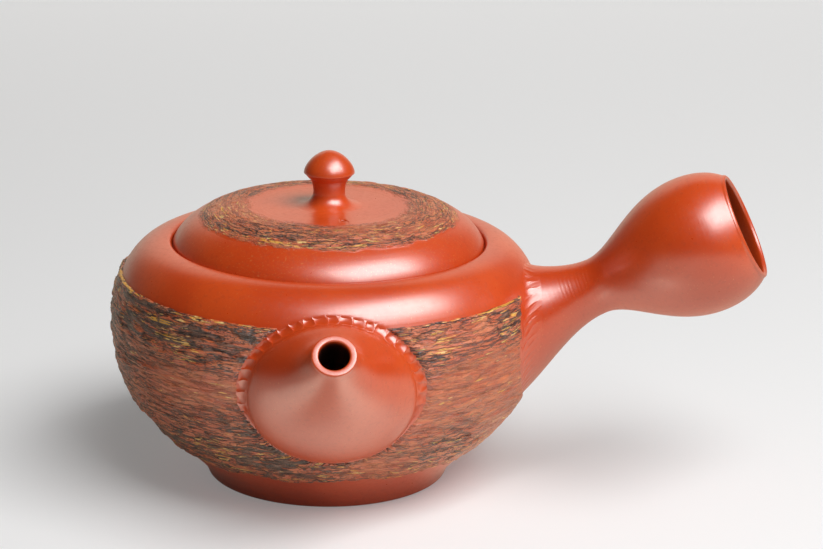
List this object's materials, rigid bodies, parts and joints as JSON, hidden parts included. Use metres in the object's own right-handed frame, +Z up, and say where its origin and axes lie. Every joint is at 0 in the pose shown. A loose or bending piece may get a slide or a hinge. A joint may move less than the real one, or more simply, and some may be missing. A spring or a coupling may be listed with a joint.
{
  "type": "kyusu teapot",
  "caption": "Side-handled red clay kyusu teapot with a pine-bark belly band, short bell spout, hollow flared handle and a loose knobbed lid that lifts off.",
  "frame": {"origin": "middle of the foot, on the table", "axes": "+Z up along the turning axis, the spout toward -Y, the handle toward +X swung 11 degrees toward the spout"},
  "size_m": [0.1717, 0.1364, 0.0878],
  "materials": {
    "red_clay": "satin",
    "bark_slip": "matte"
  },
  "bodies": {
    "pot": {"pot_body": "red_clay", "belly_bark": "bark_slip", "spout": "red_clay", "spout_collar": "red_clay", "strainer": "red_clay", "handle": "red_clay", "handle_collar": "red_clay"},
    "lid": {"lid": "red_clay", "lid_bark": "bark_slip", "knob": "red_clay"}
  },
  "joints": [
    {"name": "lid_lift", "type": "slide", "parent": "pot", "child": "lid", "axis": [0, 0, 1], "range_m": [0, 0.06]}
  ]
}
